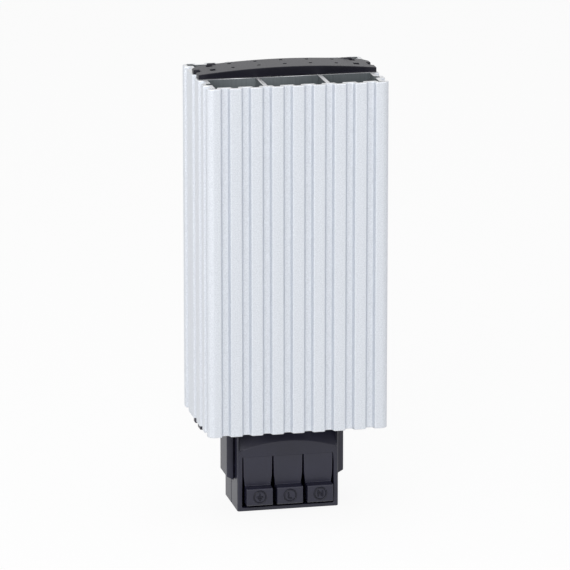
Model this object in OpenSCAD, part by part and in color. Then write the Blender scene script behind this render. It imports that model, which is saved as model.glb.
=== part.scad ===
// Self-limiting enclosure heater: an extruded chimney profile with a cap, a rail clip and a spring-clamp box.
// The front faces -Y and +Z is up. The origin is the middle of the rail seat on the back. Millimetres.

/* [Profile] */
// Width of the extruded profile
profile_w = 70; // [66:1:90]
// Depth of the profile, front to rail seat
profile_d = 50; // [48:1:64]
// Length the profile is cut to
profile_l = 135; // [130:1:220]
// Thickness of the corrugated outer walls
wall_t = 1.6; // [1.2:0.1:1.8]
// Thickness of the straight inner walls
web_t = 1.6; // [1.2:0.1:2]
// Radius of the four outer corners
corner_r = 2.7; // [1:0.1:2.8]
// Depth of the outer grooves
groove_depth = 2; // [1:0.1:2.4]
// Run of a groove's sloping flank
groove_flank = 0.6; // [0.4:0.1:1]
// Distance between the grooves of the front and back
front_groove_pitch = 8; // [7.6:0.1:9]
// Mouth width of a front groove
front_groove_w = 3.6; // [3:0.1:4]
// Mouth width of a side groove
side_groove_w = 5; // [4:0.1:5.4]
// Land between a corner and the first side groove
side_groove_first = 0.3; // [0.2:0.1:1.5]
// Distance from the first to the second side groove
side_groove_pitch = 9.3; // [9:0.1:10]
// Last side groove, from the back
side_groove_back = 8; // [7:0.1:9]

/* [Cells] */
// Front face of the wall between chimneys and heater chamber
partition_y = 18; // [17.6:0.1:19]
// Depth of the heater chamber
chamber_d = 14; // [13.4:0.1:16]
// Screw channels, distance from the middle
boss_x = 27; // [25.5:0.1:28]
// Outer radius of a screw channel
boss_r = 2.6; // [2.2:0.1:2.8]

/* [Rail clip] */
// Middle of the rail above the profile's foot
rail_z = 67.5; // [50:0.5:90]
// Width of the mounting rail
rail_w = 35; // [35:1:36]
// Thickness of the mounting rail's sheet
rail_t = 1; // [0.8:0.1:1.5]
// Width of the channel that takes the clip
clip_channel_w = 28; // [26:0.5:30]
// Depth of that channel
clip_channel_depth = 1.8; // [1.5:0.1:2]
// Wall left under the clip for the screws
clip_pad_t = 2.6; // [2:0.1:3.2]
// Width of the clip
clip_w = 24; // [18:0.5:25]
// Sheet thickness of the clip
clip_t = 1; // [0.8:0.1:1.2]
// Distance between the two clip screws
clip_screw_pitch = 16; // [10:0.5:18]
// Shank radius of a clip screw
clip_screw_r = 1.75; // [1.5:0.05:2]

/* [Top cap] */
// Height of the cap at its ends
cap_end_h = 1.75; // [1.5:0.05:2.5]
// Height of the cap in the middle
cap_mid_h = 3.6; // [3:0.1:5]
// Wall thickness of the cap
cap_wall = 1.5; // [1.2:0.1:1.8]
// Core holes, distance from the middle
cap_hole_x = 27.8; // [26:0.1:29]
// Core hole across and along
cap_hole = [2.1, 2.6]; // [1:0.1:4]
// Distance between the two rows of marks
cap_row_pitch = 7.4; // [6:0.1:9]
// Distance between the dimples of a row
cap_dimple_pitch = 10; // [8:0.5:11]
// Radius of a dimple
cap_dimple_r = 0.75; // [0.4:0.05:1.2]
// Length of the legs in the chamber
cap_leg_l = 10; // [6:0.5:14]

/* [Connection box] */
// Front face of the box behind the profile's front
box_front_y = 19; // [18.6:0.1:20]
// Width of the box
box_w = 39.8; // [39:0.1:42]
// Depth of the box
box_d = 23.4; // [23:0.1:25]
// Height of the box under the profile
box_h = 35.6; // [33.5:0.1:38]
// Wall thickness of the box
box_wall = 1.5; // [1.2:0.1:1.8]
// Thickness of the flange on the profile's foot
flange_t = 2; // [1.6:0.1:2.6]
// Joint line between cover and housing, from the box front
seam_depth = 12; // [11:0.1:12.5]
// Open width of the joint line
seam_gap = 0.6; // [0.2:0.05:0.8]
// Width over the two shoulders
shoulder_w = 46.1; // [44:0.1:48]
// Front and back of a shoulder, from the box front
shoulder_span = [5.2, 17.7]; // [4:0.1:20]
// Foot of a shoulder at the box wall, under the profile
shoulder_foot = 24.6; // [22:0.1:26]
// Rise of the shoulder's foot to its outer edge
shoulder_rise = 1.7; // [0.5:0.1:3]
// Middle of the scoop's arch, under the profile
arch_top = 8.4; // [6:0.1:9.4]
// Radius of the scoop's arch
arch_r = 58; // [45:1:90]
// Depth of the scoop
arch_depth = 3.2; // [0.8:0.1:3.4]
// Height over which the scoop slopes in from its arch
arch_run = 6.4; // [4:0.1:8]

/* [Clamps] */
// Distance between the three clamps
pole_pitch = 11.9; // [11.8:0.05:12]
// Width of a lever at its root
lever_w = 11.5; // [11.2:0.05:11.6]
// Width of a lever's finger block
block_w = 10.2; // [9:0.1:10.8]
// Sheet thickness of a lever's tongue
lever_t = 1.8; // [1.4:0.1:2]
// Root of a lever, under the profile
lever_root = 14; // [12.8:0.1:14.6]
// Top of the finger block, above the foot of the box
block_top = 10; // [9.4:0.1:10.6]
// Height of the finger block
block_h = 6.9; // [6:0.1:7.2]
// How far the finger block stands out of the box
block_proud = 4; // [2:0.1:5]
// Radius of a wire entry
entry_r = 1.8; // [1.5:0.05:2]
// Middle of a wire entry, from the box front
entry_depth = 11.5; // [11.3:0.1:11.8]
// Thickness of the box floor round the entries
floor_t = 3; // [2.6:0.1:3.2]
// Sheet thickness of the contact bars
bar_t = 1; // [0.8:0.1:1.2]
// Width of a contact bar in its slot
bar_w = 6; // [4:0.1:7]
// Sheet thickness of a clamp spring
spring_t = 0.5; // [0.4:0.05:0.6]
// Width of a clamp spring
spring_w = 7; // [5.6:0.1:8]

/* [Heater pack] */
// Width of a heating tablet
tablet_w = 32; // [24:0.5:34]
// Height of a heating tablet
tablet_h = 22; // [18:0.5:22]
// Thickness of a heating tablet
tablet_t = 2.6; // [2:0.1:2.8]
// Distance between the tablets
tablet_pitch = 24.5; // [24:0.1:25]
// Foot of the lowest tablet above the profile's foot
pack_foot = 24; // [24:0.5:27]
// Thickness of an electrode
electrode_t = 0.8; // [0.5:0.1:1]
// Thickness of the insulating film
film_t = 0.4; // [0.2:0.05:0.5]
// Thickness of the pressure bar
pressure_t = 4; // [3:0.1:4.5]
// Sheet thickness of the leaf spring
leaf_t = 0.8; // [0.5:0.1:1]
// Radius of a lead over its sheath
lead_r = 0.8; // [0.6:0.05:0.9]

/* [Hidden] */
$fn = 48;

// Clearances: between seated pieces, round a lever, overshoot of a cut, and a hair between round faces
play = 0.1;
lever_play = 0.35;
over = 1;
touch = 0.03;

// Groove pattern: groove centres on the front, with the chimney webs behind the second from the middle
end_land_min = corner_r + side_groove_first;
groove_pairs = floor((profile_w / 2 - end_land_min - front_groove_w / 2) / front_groove_pitch + 0.5);
groove_xs = [for (i = [-groove_pairs:groove_pairs - 1]) (i + 0.5) * front_groove_pitch];
web_x = 1.5 * front_groove_pitch;
chamber_y = partition_y + web_t;
chamber_back = chamber_y + chamber_d;
rear_cell_y = chamber_back + web_t;
chamber_mid = chamber_y + chamber_d / 2;
side_groove_1 = corner_r + side_groove_first + side_groove_w / 2;
side_groove_2 = side_groove_1 + side_groove_pitch;
side_groove_last = profile_d - side_groove_back;
front_grooves = [for (x = groove_xs) [x, front_groove_w / 2, groove_depth]];
side_grooves = [for (y = [side_groove_1, side_groove_2, chamber_mid, side_groove_last])
    [y, side_groove_w / 2, groove_depth]];
channel_edge = clip_channel_w / 2 + groove_flank;
rear_groove_xs = [for (x = groove_xs) if (abs(x) - front_groove_w / 2 > channel_edge + end_land_min) x];
rear_grooves = concat([for (x = rear_groove_xs) if (x < 0) [x, front_groove_w / 2, groove_depth]],
                      [[0, channel_edge, clip_channel_depth]],
                      [for (x = rear_groove_xs) if (x > 0) [x, front_groove_w / 2, groove_depth]]);
channel_floor = profile_d - clip_channel_depth;
boss_sink = 0.2;
boss_y = chamber_y + boss_r - boss_sink;
side_inner = profile_w / 2 - groove_depth - wall_t;

// End plates, the shared outline of cap and flange: the chamber with a rim on its walls
end_inset = 0.6;
end_rim = 0.3;
end_cut = [2.4, 3];
end_front = chamber_y - end_rim;
end_back = rear_cell_y - play;

// Connection box, heights under the profile's foot are negative
box_back_y = box_front_y + box_d;
box_foot = -box_h;
cover_back = box_front_y + seam_depth - seam_gap / 2;
shell_front = box_front_y + seam_depth + seam_gap / 2;
inner_x = box_w / 2 - box_wall;
tongue_x = inner_x - play;
tongue_t = 1.2;
cavity_x = tongue_x - tongue_t;
cavity_y = box_back_y - box_wall;
floor_top = box_foot + floor_t;
sill_back = box_front_y + shoulder_span[0];
core_front = sill_back + 2 * play;
wall_t_pole = 1.6;
pole_xs = [-pole_pitch, 0, pole_pitch];

// Levers: three tongues in one window of the cover
window_x = pole_pitch + lever_w / 2 + lever_play;
window_foot = box_foot + box_wall;
block_y = box_front_y - block_proud;
block_head = box_foot + block_top;
block_foot = block_head - block_h;
tine_x = 3.3;
tine_w = 1.4;
tine_rise = [0.5, 4.1];
tine_foot = block_foot + tine_rise[0];
tine_top = block_foot + tine_rise[1];

// Clamps: bar in front of the wire, spring behind it on the housing's back wall, both set by the finger block
entry_y = box_front_y + entry_depth;
wire_gap = 0.2;
bar_y = entry_y - entry_r - wire_gap - bar_t;
bar_rise = 6.8;
bar_foot = block_foot + bar_rise;
bar_top = 6;
bar_shoulder = 1;
spring_back = cavity_y - spring_t / 2;
spring_nose = bar_y + bar_t + spring_t / 2 + play;
spring_lap = 0.3;
spring_nose_z = bar_foot - spring_lap;
spring_lip = [2.6, -4.6];
spring_end = [spring_nose, spring_nose_z] + spring_lip;
spring_rise = 3.3;
spring_foot = block_foot + spring_rise;

// Heater pack from the chimney wall backwards
pack_side = 3;
pack_x = tablet_w / 2 + pack_side;
pack_front = chamber_y + film_t;
tablet_y = pack_front + electrode_t;
rear_electrode_y = tablet_y + tablet_t;
pack_back = rear_electrode_y + electrode_t;
pressure_y = pack_back + film_t;
leaf_y = pressure_y + pressure_t;
tablets = 4;
pack_top = pack_foot + (tablets - 1) * tablet_pitch + tablet_h;
pack_margin = 2;
tab_w = 6;
tab_l = 8;
tab_foot = pack_foot - tab_l;

black = [0.20, 0.20, 0.23];
silver = [0.86, 0.88, 0.90];
steel = [0.62, 0.63, 0.65];
copper = [0.80, 0.62, 0.36];

// Everything is drawn from the profile's front and foot, then set on the rail seat
module seated() { translate([0, -profile_d, -rail_z]) children(); }

// A flat outline in Y and Z, drawn out along X about x
module across(w, x = 0) {
    translate([x, 0, 0]) rotate([90, 0, 90]) linear_extrude(w, center = true) children();
}

// A flat outline in X and Z, drawn out along Y from y0 to y1
module along_y(y0, y1) { translate([0, y1, 0]) rotate([90, 0, 0]) linear_extrude(y1 - y0) children(); }

// A box between two corners
module block(a, b) { translate(a) cube(b - a); }

// The same piece on both sides of the middle
module both_sides() {
    children();
    mirror([1, 0, 0]) children();
}

function reversed(a) = [for (i = [len(a) - 1:-1:0]) a[i]];
function arc(c, r, a0, a1, n = 4) =
    [for (i = [0:n]) let (a = a0 + (a1 - a0) * i / n) c + r * [cos(a), sin(a)]];

// One groove [centre, half mouth, depth] as points of [along the edge, into the wall], set in by t
function groove_points(g, t) =
    let (k = t * tan(atan2(g[2], groove_flank) / 2), mouth = g[1] + k, bed = mouth - groove_flank)
    [[g[0] - mouth, t], [g[0] - bed, t + g[2]], [g[0] + bed, t + g[2]], [g[0] + mouth, t]];
function edge_points(grooves, t) = [for (g = grooves) each groove_points(g, t)];

// A corner of the profile, round outside and sharp inside the wall
corner_steps = 8;
quarter_turn = 90;
function corner(sx, sy, a0, t) =
    let (r = t > 0 ? 0 : corner_r,
         c = [sx * (profile_w / 2 - t - r), profile_d / 2 + sy * (profile_d / 2 - t - r)])
    t > 0 ? [c] : arc(c, r, a0, a0 + quarter_turn, corner_steps);

// The profile's grooved outline, set in by t
function outline(t) = concat(
    corner(-1, -1, 180, t), edge_points(front_grooves, t),
    corner(1, -1, 270, t), [for (p = edge_points(side_grooves, t)) [profile_w / 2 - p[1], p[0]]],
    corner(1, 1, 0, t), [for (p = reversed(edge_points(rear_grooves, t))) [p[0], profile_d - p[1]]],
    corner(-1, 1, 90, t), [for (p = reversed(edge_points(side_grooves, t))) [-profile_w / 2 + p[1], p[0]]]);

// Bent sheet: a path whose corners are rounded with the radii in rs, given a thickness on both sides
function unit(a, b) = (b - a) / norm(b - a);
function left(d) = [-d[1], d[0]];
function turned(v, a) = [v[0] * cos(a) - v[1] * sin(a), v[0] * sin(a) + v[1] * cos(a)];
function bend(p, i, r, n = 6) =
    let (u = unit(p[i - 1], p[i]), v = unit(p[i], p[i + 1]), turn = atan2(u[0] * v[1] - u[1] * v[0], u * v),
         arm = left(u) * sign(turn) * r, c = p[i] - u * r * tan(abs(turn) / 2) + arm)
    [for (k = [0:n]) c - turned(arm, turn * k / n)];
function bent_path(p, rs) =
    concat([p[0]], [for (i = [1:len(p) - 2]) each bend(p, i, rs[i - 1])], [p[len(p) - 1]]);
function path_normal(p, i) =
    let (a = left(unit(p[max(i - 1, 0)], p[max(i, 1)])),
         b = left(unit(p[min(i, len(p) - 2)], p[min(i + 1, len(p) - 1)])))
    (a + b) / (1 + a * b);
function strip(p, t) = concat([for (i = [0:len(p) - 1]) p[i] + path_normal(p, i) * t / 2],
                              [for (i = [len(p) - 1:-1:0]) p[i] - path_normal(p, i) * t / 2]);

// Extruded chimney profile with its screw channels
module profile_cells() {
    for (i = [-1, 0, 1]) {
        x0 = i < 0 ? -profile_w : (i - 0.5) * 2 * web_x + web_t / 2;
        x1 = i > 0 ? profile_w : (i + 0.5) * 2 * web_x - web_t / 2;
        rear_limit = i == 0 ? channel_floor - clip_pad_t : profile_d;
        translate([x0, -over]) square([x1 - x0, partition_y + over]);
        translate([x0, rear_cell_y]) square([x1 - x0, rear_limit - rear_cell_y]);
    }
    translate([-profile_w, chamber_y]) square([2 * profile_w, chamber_d]);
}

module profile_section() {
    difference() {
        polygon(outline(0));
        difference() {
            intersection() {
                polygon(outline(wall_t));
                profile_cells();
            }
            both_sides() translate([boss_x, boss_y]) circle(boss_r);
        }
        both_sides() translate([boss_x, boss_y]) circle(flange_screw_r + touch);
    }
}

module heatsink_profile() {
    seated() color(silver) difference() {
        linear_extrude(profile_l) profile_section();
        for (s = [-1, 1])
            translate([0, profile_d, rail_z + s * clip_screw_pitch / 2]) rotate([90, 0, 0])
                cylinder(r = clip_screw_r + touch, h = profile_d - rear_cell_y);
    }
}

// Outline shared by the cap and the flange, notched like the profile's sides and cut at its rear corners
module end_plate() {
    edge = profile_w / 2 - end_inset;
    notch = [for (p = groove_points([chamber_mid, side_groove_w / 2, groove_depth], 0)) [edge - p[1], p[0]]];
    right = concat([[edge, end_front]], notch,
                   [[edge, end_back - end_cut[1]], [edge - end_cut[0], end_back]]);
    polygon(concat(right, [for (p = reversed(right)) [-p[0], p[1]]]));
}

// Cap over the heater chamber: barrel-arched top, hollow below, with a leg in each end of the chamber
cap_half = profile_w / 2 - end_inset;
cap_arch_r = (pow(cap_half, 2) + pow(cap_mid_h - cap_end_h, 2)) / (2 * (cap_mid_h - cap_end_h));
cap_rows_back = 2.1;
cap_rows = [for (s = [-1, 1]) chamber_mid + cap_rows_back + s * cap_row_pitch / 2];
cap_hollow_x = 24;
cap_dimple_depth = 0.4;
cap_tab = [3.2, 1.2, 0.45];
cap_tab_x = cap_hole_x - 1.2;
cap_leg = [1.6, 5.4];

function cap_top(x) = profile_l + cap_mid_h - cap_arch_r + sqrt(pow(cap_arch_r, 2) - x * x);

module cap_barrel(r, y0, y1) {
    along_y(y0, y1) translate([0, profile_l + cap_mid_h - cap_arch_r]) circle(r, $fn = 360);
}

module top_cap() {
    seated() color(black) {
        difference() {
            intersection() {
                translate([0, 0, profile_l]) linear_extrude(cap_mid_h + over) end_plate();
                cap_barrel(cap_arch_r, end_front - over, end_back + over);
            }
            intersection() {
                block([-cap_hollow_x, end_front + cap_wall, profile_l - over],
                      [cap_hollow_x, end_back - cap_wall, profile_l + cap_mid_h]);
                cap_barrel(cap_arch_r - cap_wall, end_front, end_back);
            }
            for (y = cap_rows) {
                both_sides() translate([cap_hole_x - cap_hole[0] / 2, y - cap_hole[1] / 2, profile_l - over])
                    cube([cap_hole[0], cap_hole[1], cap_mid_h + 2 * over]);
                for (x = cap_dimple_pitch * [-2, -1, 0, 1, 2])
                    translate([x, y, cap_top(x) - cap_dimple_depth]) cylinder(r = cap_dimple_r, h = over);
            }
        }
        both_sides() {
            block([cap_tab_x - cap_tab[0] / 2, end_back - cap_tab[1], profile_l + cap_end_h / 2],
                  [cap_tab_x + cap_tab[0] / 2, end_back, cap_top(cap_tab_x) + cap_tab[2]]);
            block([side_inner - play - cap_leg[0], chamber_mid - cap_leg[1] / 2, profile_l - cap_leg_l],
                  [side_inner - play, chamber_mid + cap_leg[1] / 2, profile_l + cap_end_h / 2]);
        }
    }
}

// Housing of the connection box: flange, shoulders, back shell and the walls between the clamps
flange_screw_r = 1.4;
flange_head_r = 2.6;
flange_head_h = 1.8;
flange_screw_l = 12;
strap_end = 3.2;
strap_half = 2.2;
strap = [[-boss_x - strap_end, boss_y - strap_half], [-pole_pitch + bar_w / 2, boss_y + strap_half]];
back_slope = [box_back_y - end_back, 6];
funnel_h = 1;
funnel_flare = 0.8;
funnel_r = entry_r + funnel_flare;
shoulder_rebate = [0.5, 2.5];

// Side outline of the cells inside, which keep the wall under the back slope; grow sinks a piece into the walls
function cavity_side(front, grow) =
    let (slope = back_slope[1] / back_slope[0],
         drop = (box_wall - grow) * sqrt(1 + slope * slope),
         back = cavity_y + grow, top = grow - flange_t)
    [[front, floor_top - grow], [back, floor_top - grow],
     [back, -flange_t - drop - (back - end_back) * slope],
     [end_back - (drop + grow) / slope, top], [front, top]];

module box_shell() {
    across(box_w) polygon([[shell_front, box_foot], [box_back_y, box_foot],
                           [box_back_y, -flange_t - back_slope[1]],
                           [box_back_y - back_slope[0], -flange_t], [shell_front, -flange_t]]);
    block([-tongue_x, core_front, box_foot], [tongue_x, shell_front + over, -flange_t]);
}

module shoulders() {
    y0 = box_front_y + shoulder_span[0];
    y1 = box_front_y + shoulder_span[1];
    rebate = [box_w / 2, y0] + shoulder_rebate;
    difference() {
        both_sides() along_y(y0, y1)
            polygon([[cavity_x, -flange_t], [shoulder_w / 2, -flange_t],
                     [shoulder_w / 2, shoulder_rise - shoulder_foot], [box_w / 2, -shoulder_foot],
                     [cavity_x, -shoulder_foot]]);
        block([-rebate[0], y0 - over, -shoulder_foot - over], [rebate[0], rebate[1], -flange_t]);
    }
}

module strap_plan(grow) {
    translate(strap[0] - [grow, grow]) square(strap[1] - strap[0] + 2 * [grow, grow]);
    translate([-pole_pitch - bar_w / 2 - grow, strap[0][1]])
        square([bar_w + 2 * grow, bar_y + bar_t + grow - strap[0][1]]);
}

module connector_housing() {
    seated() color(black) {
        difference() {
            union() {
                translate([0, 0, -flange_t]) linear_extrude(flange_t) end_plate();
                box_shell();
                shoulders();
            }
            across(2 * cavity_x) polygon(cavity_side(core_front - over, 0));
            for (x = pole_xs) {
                translate([x, entry_y, box_foot - over]) cylinder(r = entry_r, h = floor_t + 2 * over);
                translate([x, entry_y, box_foot]) cylinder(r1 = funnel_r, r2 = entry_r, h = funnel_h);
                block([x - bar_w / 2 - play, bar_y - play, -flange_t - over],
                      [x + bar_w / 2 + play, bar_y + bar_t + play, over]);
            }
            translate([0, 0, -bar_t]) linear_extrude(bar_t + over) strap_plan(play);
            both_sides() translate([boss_x, boss_y, -flange_t - over])
                cylinder(r = flange_screw_r + play, h = flange_t + 2 * over);
        }
        for (x = [-pole_pitch / 2, pole_pitch / 2])
            across(wall_t_pole, x) polygon(cavity_side(core_front, play));
    }
}

// Front cover: frame round the levers, arched scoop above them, cheeks that lap the housing
cover_edge_r = 0.8;
cheek_lap = 2.3;
cheek_back = sill_back + cheek_lap;
scoop_rim = 0.7;
scoop_x = box_w / 2 - scoop_rim;
lintel_step = 0.7;
lintel_t = 1.4;
lintel_foot = lintel_step - lever_root;

module cover_plan() {
    x = box_w / 2;
    c = box_front_y + cover_edge_r;
    polygon(concat(arc([-x + cover_edge_r, c], cover_edge_r, 180, 270),
                   arc([x - cover_edge_r, c], cover_edge_r, 270, 360),
                   [[x, cover_back], [-x, cover_back]]));
}

module front_cover() {
    seated() color(black) difference() {
        translate([0, 0, box_foot]) linear_extrude(box_h - flange_t) cover_plan();
        // inside of the box, and the thicker wall over the levers
        block([-inner_x, box_front_y + lever_t, window_foot], [inner_x, cover_back + over, lintel_foot]);
        block([-inner_x, box_front_y + arch_depth + lintel_t, lintel_foot - over],
              [inner_x, cover_back + over, 0]);
        // the housing's floor and shoulders take over here
        block([-inner_x, sill_back, box_foot - over], [inner_x, cover_back + over, window_foot + over]);
        block([-box_w, cheek_back, -shoulder_foot - 2 * play], [box_w, cover_back + over, 0]);
        // window of the levers
        block([-window_x, box_front_y - over, window_foot],
              [window_x, box_front_y + lever_t + over, -lever_root]);
        // scoop above the arch, whose slope is a cone about the arch's middle
        difference() {
            block([-scoop_x, box_front_y - over, -lever_root], [scoop_x, box_front_y + arch_depth, 0]);
            translate([0, box_front_y, -arch_top - arch_r]) rotate([-90, 0, 0]) {
                translate([0, 0, -2 * over]) cylinder(r = arch_r, h = 2 * over, $fn = 180);
                cylinder(r1 = arch_r, r2 = arch_r + arch_run, h = arch_depth + touch, $fn = 180);
            }
        }
    }
}

// Press lever: tongue that bends at its root, finger block, and two tines that straddle the wire
root_gap = 0.05;
root_relief = 0.45;
block_edge = 0.4;
block_heel = 0.2;
block_back = box_front_y + lever_t + block_heel;
block_skin = 1.2;
taper_h = 4;
taper_top = block_head + taper_h;
lever_draft = 0.3;
lever_low_w = lever_w - lever_draft;
core_w = 2 * tine_x - tine_w;

function lever_side() = [
    [box_front_y, -lever_root - root_gap], [box_front_y, block_head],
    [block_y + block_edge, block_head], [block_y, block_head - block_edge],
    [block_y, block_foot + block_edge], [block_y + block_edge, block_foot],
    [block_back, block_foot], [block_back, block_head], [box_front_y + lever_t, block_head],
    [box_front_y + lever_t, -lever_root - root_gap - root_relief]];

function lever_front() =
    let (right = [[lever_w / 2, 0], [lever_w / 2, -lever_root], [lever_low_w / 2, taper_top],
                  [block_w / 2, block_head], [block_w / 2, box_foot]])
    concat(right, [for (p = reversed(right)) [-p[0], p[1]]]);

// The spring's front face at height z, which the slanted tine ends follow
function spring_face(z) = spring_nose - spring_t + spring_lip[0] * (z - spring_nose_z) / spring_lip[1];

module press_lever(x) {
    seated() color(black) translate([x, 0, 0]) {
        difference() {
            intersection() {
                across(pole_pitch) polygon(lever_side());
                along_y(block_y - over, block_back + over) polygon(lever_front());
            }
            block([-core_w / 2, block_y + lever_t, block_foot + block_skin],
                  [core_w / 2, block_back + over, block_head - block_skin]);
        }
        for (s = [-1, 1])
            across(tine_w, s * tine_x)
                polygon([[block_back - over, tine_top], [block_back - over, tine_foot],
                         [spring_face(spring_end[1]) - lever_play, tine_foot],
                         [spring_face(spring_end[1]) - lever_play, spring_end[1]],
                         [spring_face(tine_top) - lever_play, tine_top]]);
    }
}

module press_lever_earth() { press_lever(pole_xs[0]); }
module press_lever_live() { press_lever(pole_xs[1]); }
module press_lever_neutral() { press_lever(pole_xs[2]); }

// Clamp spring: a bow on the housing's back wall whose free leg leans on the contact bar
bow_top = -7.3;
bow_r = 4.2;
bow_flat = 0.5;
nose_r = 0.8;

module clamp_spring(x) {
    path = [[spring_back, spring_foot], [spring_back, bow_top], [spring_back - 2 * bow_r - bow_flat, bow_top],
            [spring_nose, spring_nose_z], spring_end];
    seated() color(steel) across(spring_w, x)
        polygon(strip(bent_path(path, [bow_r, bow_r, nose_r]), spring_t));
}

module clamp_spring_earth() { clamp_spring(pole_xs[0]); }
module clamp_spring_live() { clamp_spring(pole_xs[1]); }
module clamp_spring_neutral() { clamp_spring(pole_xs[2]); }

// Contact bars: upright through the flange, with shoulders under it; the earth bar has a strap to a screw
module bar_upright(x, top) {
    block([x - bar_w / 2, bar_y, bar_foot], [x + bar_w / 2, bar_y + bar_t, top]);
    block([x - bar_w / 2 - bar_shoulder, bar_y, bar_foot],
          [x + bar_w / 2 + bar_shoulder, bar_y + bar_t, -flange_t]);
}

module contact_bar_earth() {
    seated() color(copper) difference() {
        union() {
            bar_upright(pole_xs[0], 0);
            translate([0, 0, -bar_t]) linear_extrude(bar_t) strap_plan(0);
        }
        translate([-boss_x, boss_y, -bar_t - over]) cylinder(r = flange_screw_r + play, h = bar_t + 2 * over);
    }
}
module contact_bar_live() { seated() color(copper) bar_upright(pole_xs[1], bar_top); }
module contact_bar_neutral() { seated() color(copper) bar_upright(pole_xs[2], bar_top); }

// Heating tablets in their frame, between two electrodes in a sleeve of film
frame_set_in = 0.5;
module ptc_tablet(i) {
    seated() color([0.35, 0.33, 0.32])
        translate([-tablet_w / 2, tablet_y, pack_foot + i * tablet_pitch])
            cube([tablet_w, tablet_t, tablet_h]);
}
module ptc_tablet_1() { ptc_tablet(0); }
module ptc_tablet_2() { ptc_tablet(1); }
module ptc_tablet_3() { ptc_tablet(2); }
module ptc_tablet_4() { ptc_tablet(3); }

module tablet_frame() {
    rim = pack_margin - frame_set_in;
    seated() color([0.85, 0.83, 0.78]) difference() {
        block([-tablet_w / 2 - rim, tablet_y + play, pack_foot - rim],
              [tablet_w / 2 + rim, rear_electrode_y - play, pack_top + rim]);
        for (i = [0:tablets - 1])
            translate([-tablet_w / 2 - play, tablet_y, pack_foot + i * tablet_pitch - play])
                cube([tablet_w + 2 * play, tablet_t, tablet_h + 2 * play]);
    }
}

module electrode(y, tab_x) {
    half = pack_x - pack_margin + frame_set_in;
    block([-half, y, pack_foot - pack_margin], [half, y + electrode_t, pack_top + pack_margin]);
    block([tab_x - tab_w / 2, y, tab_foot], [tab_x + tab_w / 2, y + electrode_t, pack_foot]);
}
module front_electrode() { seated() color([0.75, 0.76, 0.78]) electrode(pack_front, pole_xs[1]); }
module rear_electrode() { seated() color([0.75, 0.76, 0.78]) electrode(rear_electrode_y, pole_xs[2]); }

module insulating_sleeve() {
    seated() color([0.72, 0.45, 0.15]) difference() {
        block([-pack_x, chamber_y, pack_foot - pack_margin - over],
              [pack_x, pressure_y, pack_top + pack_margin + over]);
        block([-pack_x + film_t, pack_front, 0], [pack_x - film_t, pack_back, profile_l]);
    }
}

// Pressure bar and the leaf spring that wedges it off the chamber's back wall
pressure_x = 18;
leaf_w = 24;
leaf_flat = 6;
leaf_waves = 3;
leaf_step = (pack_top - pack_foot - leaf_flat) / (2 * leaf_waves) - leaf_flat;

module pressure_bar() {
    seated() color([0.78, 0.79, 0.80])
        block([-pressure_x, pressure_y, pack_foot], [pressure_x, leaf_y, pack_top]);
}

module leaf_spring() {
    wave = 2 * (leaf_flat + leaf_step);
    near = leaf_y + leaf_t / 2;
    far = chamber_back - leaf_t / 2;
    path = concat([for (i = [0:leaf_waves - 1]) let (z = pack_foot + i * wave)
                      each [[far, z], [far, z + leaf_flat],
                            [near, z + leaf_flat + leaf_step], [near, z + 2 * leaf_flat + leaf_step]]],
                  [[far, pack_top - leaf_flat], [far, pack_top]]);
    seated() color(steel) across(leaf_w) polygon(strip(path, leaf_t));
}

// Leads from the contact bars to the electrode tabs, swept along points of X, Y and Z
function ring(c, d, r, n) = let (u = [1, 0, 0], v = cross(d, u)) [for (k = [0:n - 1])
    c + r * (u * cos(360 * k / n) + v * sin(360 * k / n))];
module tube(p, r, n = 8) {
    last = len(p) - 1;
    rings = [for (i = [0:last]) each ring(p[i], unit(p[max(i - 1, 0)], p[min(i + 1, last)]), r, n)];
    sides = [for (i = [0:last - 1], k = [0:n - 1]) let (a = i * n, b = a + n, next = (k + 1) % n)
        [a + k, b + k, b + next, a + next]];
    polyhedron(rings, concat([[for (k = [0:n - 1]) k]], sides, [[for (k = [n - 1:-1:0]) last * n + k]]));
}

// An S from the top of a bar to the back of a tab, with straight ends
lead_start = 2;
lead_stop = 0.5;
lead_lap = 5;
lead_steps = 12;
function lead_route(x, y0, y1) =
    let (z0 = bar_top + lead_start, z1 = tab_foot - lead_stop, n = lead_steps)
    concat([[x, y0, bar_top]],
           [for (i = [0:n]) let (s = i / n) [x, y0 + (y1 - y0) * (1 - cos(180 * s)) / 2, z0 + (z1 - z0) * s]],
           [[x, y1, tab_foot + lead_lap]]);
module live_lead() {
    seated() color([0.45, 0.25, 0.12])
        tube(lead_route(pole_xs[1], bar_y + bar_t / 2, pack_front + electrode_t + lead_r + touch), lead_r);
}
module neutral_lead() {
    seated() color([0.12, 0.25, 0.60])
        tube(lead_route(pole_xs[2], bar_y + bar_t / 2, pack_back + lead_r + touch), lead_r);
}

// Two screws from below hold the box on the profile
module flange_screws() {
    seated() color(steel) both_sides() translate([boss_x, boss_y, -flange_t]) {
        translate([0, 0, -flange_head_h]) cylinder(r = flange_head_r, h = flange_head_h);
        cylinder(r = flange_screw_r, h = flange_t + flange_screw_l);
    }
}

// Rail clip: one folded strip with a hook over the rail's upper edge and a sprung leg behind its lower edge
clip_y = channel_floor + clip_t / 2;
hook_play = [0.3, 0.4];
hook_y = profile_d + rail_t + hook_play[0] + clip_t / 2;
hook_bend = rail_w / 2 + hook_play[1] + clip_t / 2;
hook_lap = 2.3;
hook_flare = [1.4, 2];
leg_lap = 2.1;
leg_flare = [2.2, 3];
leg_l = 13.5;
leg_foot = rail_w / 2 + leg_l;
clip_bends = [1.5, 1.1, 1.1, 1.4, 1.4, 2];
release_slot = [8, 3];
release_rise = 3;
clip_head_r = 3.4;
clip_head_h = 2.2;

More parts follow.
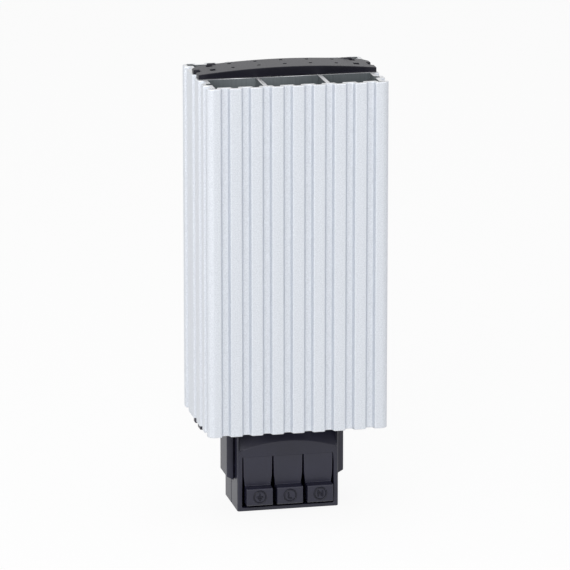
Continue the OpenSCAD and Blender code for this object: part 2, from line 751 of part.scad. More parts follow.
module din_clip() {
    path = [[hook_y + hook_flare[0], rail_w / 2 - hook_lap - hook_flare[1]], [hook_y, rail_w / 2 - hook_lap],
            [hook_y, hook_bend], [clip_y, hook_bend], [clip_y, -leg_foot], [hook_y, -leg_foot],
            [hook_y, leg_lap - rail_w / 2], [hook_y + leg_flare[0], leg_lap + leg_flare[1] - rail_w / 2]];
    seated() color(steel) translate([0, 0, rail_z]) difference() {
        across(clip_w) polygon(strip(bent_path(path, clip_bends), clip_t));
        for (s = [-1, 1])
            translate([0, hook_y, s * clip_screw_pitch / 2]) rotate([90, 0, 0])
                cylinder(r = clip_screw_r + play, h = hook_y - channel_floor + over);
        block([-release_slot[0] / 2, (clip_y + hook_y) / 2, release_rise - leg_foot],
              [release_slot[0] / 2, hook_y + over, release_rise - leg_foot + release_slot[1]]);
    }
}

module clip_screws() {
    seated() color(steel) for (s = [-1, 1])
        translate([0, channel_floor + clip_t, rail_z + s * clip_screw_pitch / 2]) rotate([90, 0, 0]) {
            translate([0, 0, -clip_head_h]) cylinder(r = clip_head_r, h = clip_head_h);
            cylinder(r = clip_screw_r, h = clip_t + clip_pad_t + over);
        }
}

heatsink_profile();
top_cap();
connector_housing();
front_cover();
press_lever_earth();
press_lever_live();
press_lever_neutral();
clamp_spring_earth();
clamp_spring_live();
clamp_spring_neutral();
contact_bar_earth();
contact_bar_live();
contact_bar_neutral();
ptc_tablet_1();
ptc_tablet_2();
ptc_tablet_3();
ptc_tablet_4();
tablet_frame();
front_electrode();
rear_electrode();
insulating_sleeve();
pressure_bar();
leaf_spring();
live_lead();
neutral_lead();
flange_screws();
din_clip();
clip_screws();
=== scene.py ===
"""Looks of a self-limiting enclosure heater: a chimney profile, its cap, a connection box and a rail clip.

Lengths are metres in the frame of the part: the front faces -Y, +Z is up, the origin lies on the rail seat.
"""

import math

import bmesh
import bpy
import numpy as np
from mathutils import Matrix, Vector


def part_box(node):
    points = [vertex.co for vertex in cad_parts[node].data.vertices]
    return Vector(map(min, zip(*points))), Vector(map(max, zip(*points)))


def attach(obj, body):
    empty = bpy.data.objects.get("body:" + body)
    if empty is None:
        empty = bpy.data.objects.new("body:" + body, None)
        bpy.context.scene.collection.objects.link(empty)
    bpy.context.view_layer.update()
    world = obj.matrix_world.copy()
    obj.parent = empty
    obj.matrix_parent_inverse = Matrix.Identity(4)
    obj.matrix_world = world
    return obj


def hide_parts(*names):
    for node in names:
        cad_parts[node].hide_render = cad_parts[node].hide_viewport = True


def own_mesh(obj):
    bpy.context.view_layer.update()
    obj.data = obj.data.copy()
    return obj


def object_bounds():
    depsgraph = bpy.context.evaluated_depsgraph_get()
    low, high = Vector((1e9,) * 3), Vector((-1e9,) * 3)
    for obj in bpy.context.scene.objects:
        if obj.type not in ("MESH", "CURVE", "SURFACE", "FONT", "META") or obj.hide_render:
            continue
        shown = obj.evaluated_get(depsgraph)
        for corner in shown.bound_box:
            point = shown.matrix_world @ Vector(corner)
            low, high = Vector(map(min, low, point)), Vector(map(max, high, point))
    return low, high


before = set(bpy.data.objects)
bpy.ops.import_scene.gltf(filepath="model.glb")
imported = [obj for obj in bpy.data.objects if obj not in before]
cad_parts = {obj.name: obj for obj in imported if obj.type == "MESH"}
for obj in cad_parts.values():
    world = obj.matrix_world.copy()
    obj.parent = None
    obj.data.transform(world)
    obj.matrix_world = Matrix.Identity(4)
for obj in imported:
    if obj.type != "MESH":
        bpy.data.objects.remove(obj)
cad_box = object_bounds()


# Extruded profile
# One length of aluminium pressed through a die, satin anodised and then sawn square at both ends.
# Its corrugated walls stand round six open chimneys and the chamber for the heater pack.
mm = 0.001
die_round = 0.42 * mm
saw_round = 0.3 * mm
cell_round = 0.1 * mm
sharp_turn = math.radians(25)
same_corner = 0.002 * mm
same_plane = math.radians(0.2)
flat_weight = 100
least_run = 1 * mm
cut_zone = 0.01 * mm
cut_normal = 0.9
noise_low = 0.3
noise_high = 0.7
anodised_dark = (0.60, 0.63, 0.68)
anodised_light = (0.74, 0.77, 0.82)
anodised_rough = (0.40, 0.52)
anodised_metallic = 0.55
etch_size = 0.45 * mm
etch_depth = 0.02 * mm
die_line_width = 0.5 * mm
die_line_stretch = 120
die_line_depth = 0.012 * mm


def merged_mesh(name, points, faces, gap):
    """A mesh and its open edit, in which points nearer to each other than the gap are merged."""
    mesh = bpy.data.meshes.new(name)
    mesh.from_pydata(points.tolist(), [], faces.tolist())
    whole = bmesh.new()
    whole.from_mesh(mesh)
    bmesh.ops.remove_doubles(whole, verts=whole.verts, dist=gap)
    return mesh, whole


def smooth_piece(name, mesh, whole):
    """A smooth piece in the scene from a mesh, whose open edit is written back and closed."""
    whole.to_mesh(mesh)
    whole.free()
    mesh.shade_smooth()
    piece = bpy.data.objects.new(name, mesh)
    bpy.context.scene.collection.objects.link(piece)
    return piece


def finished_copy(node, name):
    """A copy of a node's solid: equal corners are merged and triangles in one plane become one face."""
    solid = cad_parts[node].data
    corners = np.empty(3 * len(solid.vertices))
    solid.vertices.foreach_get("co", corners)
    triangles = np.empty(3 * len(solid.polygons), np.int32)
    solid.loops.foreach_get("vertex_index", triangles)
    mesh, whole = merged_mesh(name, corners.reshape(-1, 3), triangles.reshape(-1, 3), same_corner)
    bmesh.ops.dissolve_limit(whole, angle_limit=same_plane, verts=whole.verts, edges=whole.edges)
    piece = smooth_piece(name, mesh, whole)
    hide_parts(node)
    return piece


def face_values(mesh, name):
    """A vector of each face, such as its normal or its center, as rows of an array."""
    values = np.empty(3 * len(mesh.polygons))
    mesh.polygons.foreach_get(name, values)
    return values.reshape(-1, 3)


def face_pairs(mesh):
    """The two faces at each edge: the faces of all corners, sorted by the corner's edge, in pairs."""
    edge_of_corner = np.empty(len(mesh.loops), np.int32)
    mesh.loops.foreach_get("edge_index", edge_of_corner)
    sizes = np.empty(len(mesh.polygons), np.int32)
    mesh.polygons.foreach_get("loop_total", sizes)
    face_of_corner = np.repeat(np.arange(len(sizes)), sizes)
    return face_of_corner[np.argsort(edge_of_corner, kind="stable")].reshape(-1, 2)


def edge_turns(mesh):
    """The turn at each edge: the angle between the normals of the two faces that meet there."""
    normals = face_values(mesh, "normal")[face_pairs(mesh)]
    return np.arccos(np.clip((normals[:, 0] * normals[:, 1]).sum(1), -1, 1))


def edge_ends(mesh):
    """The two corners of each edge, as rows of two points."""
    corners = np.empty(3 * len(mesh.vertices))
    mesh.vertices.foreach_get("co", corners)
    ends = np.empty(2 * len(mesh.edges), np.int32)
    mesh.edges.foreach_get("vertices", ends)
    return corners.reshape(-1, 3)[ends.reshape(-1, 2)]


def round_edges(piece, radius, shares=None, segments=3):
    """Rounds the sharp edges of a piece to a radius, times each edge's share where shares are given.
    An edge with no share stays crisp."""
    mesh = piece.data
    sharp = edge_turns(mesh) > sharp_turn
    weights = sharp * (1.0 if shares is None else shares)
    layer = mesh.attributes.new("bevel_weight_edge", "FLOAT", "EDGE")
    layer.data.foreach_set("value", weights.astype(np.float32))
    crisp = mesh.attributes.new("sharp_edge", "BOOLEAN", "EDGE")
    crisp.data.foreach_set("value", sharp & (weights == 0))
    bevel = piece.modifiers.new("rounded edges", "BEVEL")
    bevel.limit_method = "WEIGHT"
    bevel.offset_type = "OFFSET"
    bevel.width = radius
    bevel.segments = segments
    bevel.use_clamp_overlap = False
    bevel.miter_outer = "MITER_ARC"
    flats = piece.modifiers.new("even flats", "WEIGHTED_NORMAL")
    flats.weight = flat_weight
    flats.keep_sharp = True


def new_finish(name):
    """An empty finish: its material, node tree and shader."""
    material = bpy.data.materials.new(name)
    material.use_nodes = True
    tree = material.node_tree
    return material, tree, tree.nodes["Principled BSDF"]


def grain(tree, size, stretch=(1, 1, 1), detail=2):
    """Noise on Object coordinates: spots of about that size, longer on axes whose stretch is above 1."""
    place = tree.nodes.new("ShaderNodeTexCoord").outputs["Object"]
    mapping = tree.nodes.new("ShaderNodeMapping")
    mapping.inputs["Scale"].default_value = [1 / (size * s) for s in stretch]
    noise = tree.nodes.new("ShaderNodeTexNoise")
    noise.inputs["Scale"].default_value = 1
    noise.inputs["Detail"].default_value = detail
    tree.links.new(place, mapping.inputs["Vector"])
    tree.links.new(mapping.outputs["Vector"], noise.inputs["Vector"])
    return noise.outputs["Fac"]


def colour_range(tree, fac, dark, light):
    """A colour that runs from dark to light while fac runs over the middle of a noise's range."""
    ramp = tree.nodes.new("ShaderNodeValToRGB")
    ramp.color_ramp.elements[0].position = noise_low
    ramp.color_ramp.elements[0].color = (*dark, 1)
    ramp.color_ramp.elements[1].position = noise_high
    ramp.color_ramp.elements[1].color = (*light, 1)
    tree.links.new(fac, ramp.inputs["Fac"])
    return ramp.outputs["Color"]


def value_range(tree, fac, low, high):
    """A value that runs from low to high while fac runs over the middle of a noise's range."""
    span = tree.nodes.new("ShaderNodeMapRange")
    span.inputs["From Min"].default_value = noise_low
    span.inputs["From Max"].default_value = noise_high
    span.inputs["To Min"].default_value = low
    span.inputs["To Max"].default_value = high
    tree.links.new(fac, span.inputs["Value"])
    return span.outputs["Result"]


def relief(tree, shader, *layers):
    """Bump on the shader from layers of a height pattern and its depth in metres, one over the other."""
    under = None
    for height, depth in layers:
        bump = tree.nodes.new("ShaderNodeBump")
        bump.inputs["Distance"].default_value = depth
        tree.links.new(height, bump.inputs["Height"])
        if under:
            tree.links.new(under, bump.inputs["Normal"])
        under = bump.outputs["Normal"]
    tree.links.new(under, shader.inputs["Normal"])


def anodised_aluminium():
    """Satin anodised extrusion: etched grain, faint die lines along the length and a soft sheen."""
    material, tree, shader = new_finish("anodised_aluminium")
    etched = grain(tree, etch_size, detail=3)
    die_lines = grain(tree, die_line_width, stretch=(1, 1, die_line_stretch))
    tree.links.new(colour_range(tree, etched, anodised_dark, anodised_light), shader.inputs["Base Color"])
    tree.links.new(value_range(tree, etched, *anodised_rough), shader.inputs["Roughness"])
    shader.inputs["Metallic"].default_value = anodised_metallic
    relief(tree, shader, (die_lines, die_line_depth), (etched, etch_depth))
    return material


def worked_surface(name, dark, light, rough, metallic, spot, depth, stretch=(1, 1, 1), detail=3):
    """A worked surface: spots between two colours, with a range of roughness and bump of that depth.
    Stretched spots are lines, as a die or a saw leaves them."""
    material, tree, shader = new_finish(name)
    spots = grain(tree, spot, stretch, detail)
    tree.links.new(colour_range(tree, spots, dark, light), shader.inputs["Base Color"])
    tree.links.new(value_range(tree, spots, *rough), shader.inputs["Roughness"])
    shader.inputs["Metallic"].default_value = metallic
    relief(tree, shader, (spots, depth))
    return material


def ring_of_faces(mesh, is_joint):
    """A number for each face, the same for faces that meet at edges marked as joints: the lowest number
    passes over these edges until nothing changes."""
    pairs = face_pairs(mesh)[is_joint]
    ring = np.arange(len(mesh.polygons))
    while True:
        before = ring.copy()
        lowest = ring[pairs].min(1)
        np.minimum.at(ring, pairs[:, 0], lowest)
        np.minimum.at(ring, pairs[:, 1], lowest)
        if np.array_equal(before, ring):
            return ring


profile = finished_copy("heatsink_profile", "profile")
outside, inside, sawn = 0, 1, 2
profile.data.materials.append(anodised_aluminium())
# The cells get a dark grey finish with die lines along the length: painted shade for the deep chimneys.
profile.data.materials.append(worked_surface("cell_aluminium_painted_shade", dark=(0.117, 0.136, 0.145),
                                             light=(0.158, 0.177, 0.188), rough=(0.5, 0.62), metallic=0.4,
                                             spot=0.8 * mm, depth=0.015 * mm, stretch=(1, 1, 80), detail=2))
# The saw cuts are bright bare metal with fine parallel tooth marks.
profile.data.materials.append(worked_surface("sawn_aluminium", dark=(0.60, 0.61, 0.63),
                                             light=(0.74, 0.75, 0.77), rough=(0.35, 0.5), metallic=0.6,
                                             spot=0.18 * mm, depth=0.02 * mm, stretch=(1, 40, 1), detail=2))
heights = edge_ends(profile.data)[:, :, 2]
runs_along = np.ptp(heights, axis=1) > least_run
in_cut = np.all(np.minimum(heights - heights.min(), heights.max() - heights) < cut_zone, axis=1)
ring = ring_of_faces(profile.data, runs_along)
is_cut = np.abs(face_values(profile.data, "normal")[:, 2]) > cut_normal
is_outside = ring == ring[face_values(profile.data, "center")[:, 0].argmax()]
finish_of_face = np.select([is_cut, is_outside], [sawn, outside], inside)
profile.data.polygons.foreach_set("material_index", finish_of_face.astype(np.int32))
faces_outside = is_outside[face_pairs(profile.data)].sum(1)
rounding = np.select([faces_outside == 2, runs_along, in_cut & (faces_outside == 1)],
                     [die_round, cell_round, saw_round], 0)
round_edges(profile, die_round, rounding / die_round)
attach(profile, "heater")


# Heater pack
# Four ceramic tablets sit in a moulded frame between two aluminium electrodes, in a sleeve of amber film.
# A pressure bar and a wavy leaf spring press the pack on the wall of the front chimneys.
tablet_numbers = (1, 2, 3, 4)


def dress(node, material):
    """Gives a solid that stays as it is its finish."""
    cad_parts[node].data.materials.clear()
    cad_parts[node].data.materials.append(material)


ceramic = worked_surface("heating_ceramic", dark=(0.07, 0.06, 0.055), light=(0.13, 0.12, 0.11),
                         rough=(0.7, 0.85), metallic=0, spot=0.3 * mm, depth=0.01 * mm)
for number in tablet_numbers:
    dress(f"ptc_tablet_{number}", ceramic)
dress("tablet_frame", worked_surface("frame_plastic", dark=(0.62, 0.58, 0.50), light=(0.70, 0.66, 0.58),
                                     rough=(0.5, 0.6), metallic=0, spot=0.5 * mm, depth=0.01 * mm))
bare_aluminium = worked_surface("bare_aluminium", dark=(0.70, 0.71, 0.72), light=(0.80, 0.81, 0.82),
                                rough=(0.3, 0.45), metallic=1, spot=0.6 * mm, depth=0.005 * mm)
for node in ("front_electrode", "rear_electrode", "pressure_bar"):
    dress(node, bare_aluminium)
dress("insulating_sleeve", worked_surface("amber_film", dark=(0.42, 0.17, 0.025), light=(0.52, 0.23, 0.04),
                                          rough=(0.15, 0.25), metallic=0, spot=4 * mm, depth=0.02 * mm))
spring_steel = worked_surface("spring_steel", dark=(0.42, 0.42, 0.43), light=(0.55, 0.55, 0.56),
                              rough=(0.25, 0.38), metallic=1, spot=0.4 * mm, depth=0.004 * mm)
dress("leaf_spring", spring_steel)


# Top cap
# A black moulded cap closes the heater chamber: barrel-arched, with core holes, dimples and rear tabs.
# Two legs below it reach into the chamber and hold it.
mould_round = 0.28 * mm
dimple_edge = 0.5 * mm
pit_size = 0.22 * mm
pit_depth = 0.012 * mm
flow_size = 9 * mm
moulded_rough = (0.34, 0.44)
# The cap's colours and sheen are a darker copy of the box's plastic: painted shade, as the cap gets less
# light than the box.
cap_dark = (0.004, 0.004, 0.009)
cap_light = (0.006, 0.006, 0.013)
cap_sheen = 0.27


def black_plastic(name, dark, light, sheen):
    """Glass-filled moulding with a spark-eroded skin: fine pits, a low sheen and slow tone changes."""
    material, tree, shader = new_finish(name)
    pits = grain(tree, pit_size, detail=3)
    flow = grain(tree, flow_size)
    tree.links.new(colour_range(tree, flow, dark, light), shader.inputs["Base Color"])
    tree.links.new(value_range(tree, pits, *moulded_rough), shader.inputs["Roughness"])
    shader.inputs["Specular IOR Level"].default_value = sheen
    relief(tree, shader, (pits, pit_depth))
    return material


def off_the_dimples(mesh):
    """Shares for rounding: zero at the short edges of the dimple rims, which stay crisp, else one."""
    ends = edge_ends(mesh)
    return np.linalg.norm(ends[:, 0] - ends[:, 1], axis=1) > dimple_edge


cap = finished_copy("top_cap", "cap")
cap.data.materials.append(black_plastic("cap_plastic_painted_shade", cap_dark, cap_light, cap_sheen))
round_edges(cap, mould_round, off_the_dimples(cap.data))
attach(cap, "heater")


# Connector housing
# The black back half of the connection box, moulded in one with the flange that closes the profile's foot.
# Three funnelled wire entries open in its floor.
black_dark = (0.010, 0.010, 0.024)
black_light = (0.013, 0.013, 0.031)
box_sheen = 0.52
moulding = black_plastic("black_plastic", black_dark, black_light, box_sheen)
housing = finished_copy("connector_housing", "housing")
housing.data.materials.append(moulding)
round_edges(housing, mould_round)
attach(housing, "heater")


# Contact bars and leads
# Punched brass bars stand in slots of the flange. The earth bar's strap runs under the profile to a screw.
# Sheathed leads join the other two to the electrodes.
poles = ("earth", "live", "neutral")
brass = worked_surface("contact_brass", dark=(0.62, 0.42, 0.17), light=(0.72, 0.52, 0.25),
                       rough=(0.25, 0.4), metallic=1, spot=0.5 * mm, depth=0.004 * mm)
for pole in poles:
    dress(f"contact_bar_{pole}", brass)
dress("live_lead", worked_surface("live_sheath", dark=(0.13, 0.05, 0.02), light=(0.17, 0.07, 0.03),
                                  rough=(0.4, 0.5), metallic=0, spot=0.8 * mm, depth=0.01 * mm))
dress("neutral_lead", worked_surface("neutral_sheath", dark=(0.012, 0.05, 0.26), light=(0.018, 0.07, 0.34),
                                     rough=(0.4, 0.5), metallic=0, spot=0.8 * mm, depth=0.01 * mm))


# Clamp springs
# A bow of strip steel lies on the housing's back wall, and its free leg pins the wire on the contact bar.
# A pressed lever pushes that leg back, so the bow closes towards the wall.
strip_round = 0.08 * mm
for pole in poles:
    spring = finished_copy(f"clamp_spring_{pole}", f"spring_{pole}")
    spring.data.materials.append(spring_steel)
    round_edges(spring, strip_round, segments=2)
    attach(spring, "heater")
    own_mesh(spring)


# Front cover
# The black front half of the box: an arched scoop under the profile and a frame round the three levers.
# Its cheeks lap the housing and leave an open joint line.
lever_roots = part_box("press_lever_live")[1].z
root_zone = 0.1 * mm


def off_the_roots(mesh):
    """Shares for rounding: zero at edges in the line where the levers grow out of the cover, else one."""
    return 1.0 - np.all(np.abs(edge_ends(mesh)[:, :, 2] - lever_roots) < root_zone, axis=1)


cover = finished_copy("front_cover", "cover")
cover.data.materials.append(moulding)
round_edges(cover, mould_round, off_the_roots(cover.data))
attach(cover, "heater")


# Press levers
# Three tongues bend at their roots in the cover's window. A press on a finger block opens that clamp.
# Each block carries its pole's sign as a raised bead.
lever_finish = black_plastic("lever_plastic", black_dark, black_light, box_sheen)
sign_dark = (0.006, 0.006, 0.013)
sign_light = (0.008, 0.008, 0.018)
sign_sheen = 0.32
sign_finish = black_plastic("sign_plastic", sign_dark, sign_light, sign_sheen)
block_height = 6.9 * mm
sign_radius = 2.35 * mm
bead_width = 0.62 * mm
bead_height = 0.42 * mm
bead_sides = 12
stroke_rows = 24
ring_rows = 64
same_point = 0.001 * mm


def bead(path, closed):
    """A bead along a path in the X-Z plane, as a grid: around each path point lies the ellipse
    width/2 cos(a) across the path and height sin(a) out of the plane, shrunk to a point at open ends."""
    if closed:
        along = np.roll(path, -1, 0) - np.roll(path, 1, 0)
        share = np.ones(len(path))
    else:
        along = np.gradient(path, axis=0)
        gone = np.concatenate([[0], np.cumsum(np.linalg.norm(np.diff(path, axis=0), axis=1))])
        to_end = np.minimum(gone, gone[-1] - gone) / (bead_width / 2)
        share = np.sqrt(np.clip(1 - (1 - np.minimum(to_end, 1)) ** 2, 0, 1))
    along = along / np.linalg.norm(along, axis=1, keepdims=True)
    across = np.stack([along[:, 1], -along[:, 0]], 1)
    a = np.linspace(0, 2 * np.pi, bead_sides, endpoint=False)
    flat = path[:, None] + (share[:, None] * bead_width / 2 * np.cos(a))[..., None] * across[:, None]
    out = share[:, None] * bead_height * np.sin(a)
    return np.stack([flat[..., 0], -out, flat[..., 1]], 2)


def grid_faces(rows, columns, first, closed):
    """Quads between neighbours of a grid whose columns run round, and its rows too where it is closed."""
    row = np.arange(rows if closed else rows - 1)[:, None]
    column = np.arange(columns)[None, :]
    after = (row + 1) % rows
    beside = (column + 1) % columns
    quads = [row * columns + column, after * columns + column,
             after * columns + beside, row * columns + beside]
    return first + np.stack(quads, 2).reshape(-1, 4)


def grid_piece(name, grids, material):
    """One piece from grids of points with a flag for closed rows, merged at poles and turned outwards."""
    points = np.concatenate([grid.reshape(-1, 3) for grid, closed in grids])
    firsts = np.cumsum([0] + [grid.shape[0] * grid.shape[1] for grid, closed in grids])
    faces = np.concatenate([grid_faces(*grid.shape[:2], first, closed)
                            for (grid, closed), first in zip(grids, firsts)])
    mesh, whole = merged_mesh(name, points, faces, same_point)
    bmesh.ops.recalc_face_normals(whole, faces=whole.faces)
    piece = smooth_piece(name, mesh, whole)
    mesh.materials.append(material)
    return piece


def stroke(*corners):
    """Points spaced evenly along straight lines between corners given in shares of the sign's radius."""
    corners = np.array(corners, float) * sign_radius
    gone = np.concatenate([[0], np.cumsum(np.linalg.norm(np.diff(corners, axis=0), axis=1))])
    at = np.linspace(0, gone[-1], stroke_rows * (len(corners) - 1))
    return np.stack([np.interp(at, gone, corners[:, 0]), np.interp(at, gone, corners[:, 1])], 1)


ring_turn = np.linspace(0, 2 * np.pi, ring_rows, endpoint=False)
sign_ring = sign_radius * np.stack([np.cos(ring_turn), np.sin(ring_turn)], 1)
sign_strokes = {
    "earth": [stroke((0, 0.62), (0, 0)), stroke((-0.58, 0), (0.58, 0)),
              stroke((-0.36, -0.3), (0.36, -0.3)), stroke((-0.15, -0.58), (0.15, -0.58))],
    "live": [stroke((-0.26, 0.55), (-0.26, -0.5)), stroke((-0.26, -0.5), (0.36, -0.5))],
    "neutral": [stroke((-0.36, -0.52), (-0.36, 0.52)), stroke((-0.36, 0.52), (0.36, -0.52)),
                stroke((0.36, -0.52), (0.36, 0.52))],
}
for pole, strokes in sign_strokes.items():
    lever = finished_copy(f"press_lever_{pole}", f"lever_{pole}")
    lever.data.materials.append(lever_finish)
    round_edges(lever, mould_round, off_the_roots(lever.data))
    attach(lever, f"lever_{pole}")
    low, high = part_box(f"press_lever_{pole}")
    middle = np.array([(low.x + high.x) / 2, low.y, low.z + block_height / 2])
    beads = [(bead(path, False) + middle, False) for path in strokes]
    beads.append((bead(sign_ring, True) + middle, True))
    sign = grid_piece(f"sign_{pole}", beads, sign_finish)
    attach(sign, f"lever_{pole}")


# Screws
# Zinc-plated pan heads with a cross recess. Two hold the box's flange on the profile's screw channels,
# and two hold the rail clip on the back. Shares are of the shank's radius or the head's radius or height.
thread_depth = 0.22 * mm
thread_pitch = 0.8 * mm
rows_per_thread = 10
screw_columns = 64
head_rows = 26
tip_radius_share = 0.6
tip_length_share = 0.5
head_dome = 0.35
rim_height_share = 0.92
top_radius_share = 0.97
cross_length_share = 0.55
cross_width_share = 0.16
cross_soft_share = 0.06
cross_depth_share = 0.35
cross_fall_share = 0.3
zinc = worked_surface("zinc_steel", dark=(0.50, 0.52, 0.55), light=(0.64, 0.66, 0.69),
                      rough=(0.24, 0.36), metallic=1, spot=0.5 * mm, depth=0.004 * mm)


def level_rows(values):
    """Rows of a screw's grid with one value each, the same all the way round."""
    column = np.reshape(values, (-1, 1))
    return np.broadcast_to(column, (len(column), screw_columns))


def within(distance, limit, soft):
    """One well inside a limit and zero past it, with a straight ramp over the last soft stretch."""
    return np.clip((limit - distance) / soft, 0, 1)


def screw(shank_r, shank_l, head_r, head_h):
    """A screw along +Z with its head's seat at zero, as a grid of height rows and turn columns. The
    shank's radius falls by the thread's depth with a triangle wave of height over pitch less turn. The
    head's top is a dome, less a cross of two crossed bars that sink towards the middle."""
    turn = np.linspace(0, 2 * np.pi, screw_columns, endpoint=False)
    climb = np.linspace(-shank_l, 0, int(shank_l / thread_pitch * rows_per_thread))[:, None]
    phase = (climb / thread_pitch - turn / (2 * np.pi)) % 1
    shank_radius = shank_r - thread_depth * (1 - np.abs(2 * phase - 1))
    tip_height = -shank_l - tip_length_share * shank_r
    rim_height = head_h * (1 - head_dome) * rim_height_share
    top = head_r * np.linspace(top_radius_share, 0, head_rows)[:, None]
    x = np.abs(top * np.cos(turn))
    y = np.abs(top * np.sin(turn))
    bar = cross_width_share * head_r
    arm = cross_length_share * head_r
    soft = cross_soft_share * head_r
    crossed = np.maximum(within(x, bar, soft) * within(y, arm, soft),
                         within(y, bar, soft) * within(x, arm, soft))
    sunk = crossed * head_h * (cross_depth_share + cross_fall_share * (1 - top / arm).clip(0, 1))
    dome = head_h * (1 - head_dome * (top / head_r) ** 2) - sunk
    radius = np.concatenate([level_rows([0.0, tip_radius_share * shank_r]), shank_radius,
                             level_rows([head_r, head_r]), level_rows(top)])
    height = np.concatenate([level_rows([tip_height, tip_height]), level_rows(climb),
                             level_rows([0.0, rim_height]), dome])
    return np.stack([radius * np.cos(turn), radius * np.sin(turn), height], 2)


flange_thickness = 2 * mm
flange_shank_r = 1.4 * mm
flange_tip = 0.7 * mm
flange_head_r = 2.6 * mm
flange_low, flange_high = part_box("flange_screws")
flange_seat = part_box("connector_housing")[1].z - flange_thickness
flange_shank_l = flange_high.z - flange_seat - flange_tip
flange_screw = screw(flange_shank_r, flange_shank_l, flange_head_r, flange_seat - flange_low.z)
flange_screw = flange_screw * (1, -1, -1)
flange_y = flange_low.y + flange_head_r
flange_sides = (flange_low.x + flange_head_r, flange_high.x - flange_head_r)
box_screws = grid_piece("box_screws", [(flange_screw + (x, flange_y, flange_seat), False)
                                       for x in flange_sides], zinc)
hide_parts("flange_screws")
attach(box_screws, "heater")


# Rail clip
# One strip of zinc-plated spring steel, folded into a hook over the rail's upper edge and a sprung leg
# below, screwed in a channel of the profile's back.
sheet_round = 0.14 * mm
clip = finished_copy("din_clip", "rail_clip")
clip.data.materials.append(zinc)
round_edges(clip, sheet_round, segments=2)
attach(clip, "heater")

clip_shank_r = 1.75 * mm
clip_tip = 0.88 * mm
clip_head_r = 3.4 * mm
clip_head_h = 2.2 * mm
clip_low, clip_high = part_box("clip_screws")
clip_seat = clip_high.y - clip_head_h
clip_shank_l = clip_high.y - clip_low.y - clip_head_h - clip_tip
clip_screw = screw(clip_shank_r, clip_shank_l, clip_head_r, clip_head_h)
clip_screw = clip_screw[..., [0, 2, 1]] * (1, 1, -1)
clip_heights = (clip_low.z + clip_head_r, clip_high.z - clip_head_r)
rail_screws = grid_piece("rail_screws", [(clip_screw + (0, clip_seat, z), False)
                                         for z in clip_heights], zinc)
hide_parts("clip_screws")
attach(rail_screws, "heater")


# Floor, light and camera
# A white floor at the box's foot and soft studio light: the main lamps from the left front and overhead,
# and weak ones from both sides. The camera stands a little left and above, far off with a long lens.
floor_half = 60
floor_white = (0.96, 0.96, 0.96)
floor_rough = 0.9
white_share = 0.91
world_light = 0.24
view_yaw = math.radians(-12.32)
view_rise = math.radians(14.31)
view_distance = 1.822
view_middle = Vector((0, -25 * mm, 0))
view_right = 0.09 * mm
view_up = -14.95 * mm
view_lens = 301.1
view_reach = 200


def seen_directly(tree):
    """One for a camera, mirror or glass ray, and zero for light that falls on a surface."""
    path = tree.nodes.new("ShaderNodeLightPath")
    seen = path.outputs["Is Camera Ray"]
    for other in ("Is Glossy Ray", "Is Transmission Ray"):
        either = tree.nodes.new("ShaderNodeMath")
        either.operation = "MAXIMUM"
        tree.links.new(seen, either.inputs[0])
        tree.links.new(path.outputs[other], either.inputs[1])
        seen = either.outputs["Value"]
    return seen


def studio_floor():
    """White floor: its own lit colour, which keeps the shadow, mixed with plain white where it is seen."""
    material, tree, shader = new_finish("studio_floor")
    shader.inputs["Base Color"].default_value = (*floor_white, 1)
    shader.inputs["Roughness"].default_value = floor_rough
    shader.inputs["Specular IOR Level"].default_value = 0
    white = tree.nodes.new("ShaderNodeEmission")
    share = tree.nodes.new("ShaderNodeMath")
    share.operation = "MULTIPLY"
    share.inputs[1].default_value = white_share
    mix = tree.nodes.new("ShaderNodeMixShader")
    tree.links.new(seen_directly(tree), share.inputs[0])
    tree.links.new(share.outputs["Value"], mix.inputs["Fac"])
    tree.links.new(shader.outputs["BSDF"], mix.inputs[1])
    tree.links.new(white.outputs["Emission"], mix.inputs[2])
    tree.links.new(mix.outputs["Shader"], tree.nodes["Material Output"].inputs["Surface"])
    return material


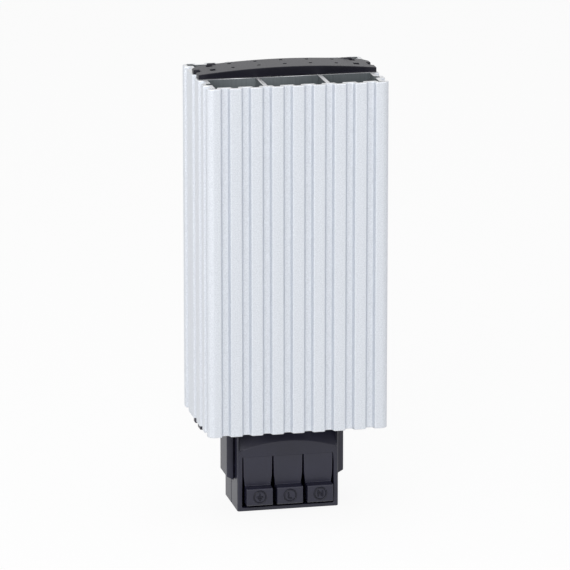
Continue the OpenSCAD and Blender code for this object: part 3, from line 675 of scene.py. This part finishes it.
floor_mesh = bpy.data.meshes.new("floor")
floor_corners = [(x * floor_half, y * floor_half, cad_box[0].z)
                 for x, y in ((-1, -1), (1, -1), (1, 1), (-1, 1))]
floor_mesh.from_pydata(floor_corners, [], [(0, 1, 2, 3)])
floor_mesh.materials.append(studio_floor())
floor = bpy.data.objects.new("floor", floor_mesh)
bpy.context.scene.collection.objects.link(floor)

world = bpy.data.worlds.new("studio")
bpy.context.scene.world = world
world.use_nodes = True
backdrop = world.node_tree.nodes["Background"]
backdrop.inputs["Color"].default_value = (1, 1, 1, 1)
strength = world.node_tree.nodes.new("ShaderNodeMapRange")
strength.inputs["To Min"].default_value = world_light
strength.inputs["To Max"].default_value = 1
world.node_tree.links.new(seen_directly(world.node_tree), strength.inputs["Value"])
world.node_tree.links.new(strength.outputs["Result"], backdrop.inputs["Strength"])


def direction(azimuth, rise):
    """The unit vector from the object to a place: azimuth 0 is the front, left is negative, rise is up."""
    return Vector((math.sin(azimuth) * math.cos(rise), -math.cos(azimuth) * math.cos(rise),
                   math.sin(rise)))


def soft_light(name, azimuth, rise, distance, size, power):
    """A square lamp that looks at the object from a direction in degrees and a distance."""
    lamp = bpy.data.lights.new(name, "AREA")
    lamp.size = size
    lamp.energy = power
    light = bpy.data.objects.new(name, lamp)
    outwards = direction(math.radians(azimuth), math.radians(rise))
    light.location = outwards * distance
    light.rotation_mode = "QUATERNION"
    light.rotation_quaternion = outwards.to_track_quat("Z", "Y")
    bpy.context.scene.collection.objects.link(light)


soft_light("key_left", azimuth=-76, rise=14, distance=1.6, size=1.1, power=5)
soft_light("front", azimuth=-22, rise=26, distance=1.8, size=1.2, power=17)
soft_light("fill_right", azimuth=70, rise=20, distance=1.8, size=1.0, power=1)
soft_light("overhead", azimuth=0, rise=90, distance=2.2, size=2.6, power=24)

camera = bpy.data.objects.new("camera", bpy.data.cameras.new("camera"))
camera.data.lens = view_lens
camera.data.clip_end = view_reach
back = direction(view_yaw, view_rise)
right = Vector((math.cos(view_yaw), math.sin(view_yaw), 0))
up = back.cross(right)
camera.location = view_middle + right * view_right + up * view_up + back * view_distance
camera.rotation_mode = "QUATERNION"
camera.rotation_quaternion = (-back).to_track_quat("-Z", "Y")
bpy.context.scene.collection.objects.link(camera)
bpy.context.scene.camera = camera
bpy.context.scene.view_settings.view_transform = "Standard"
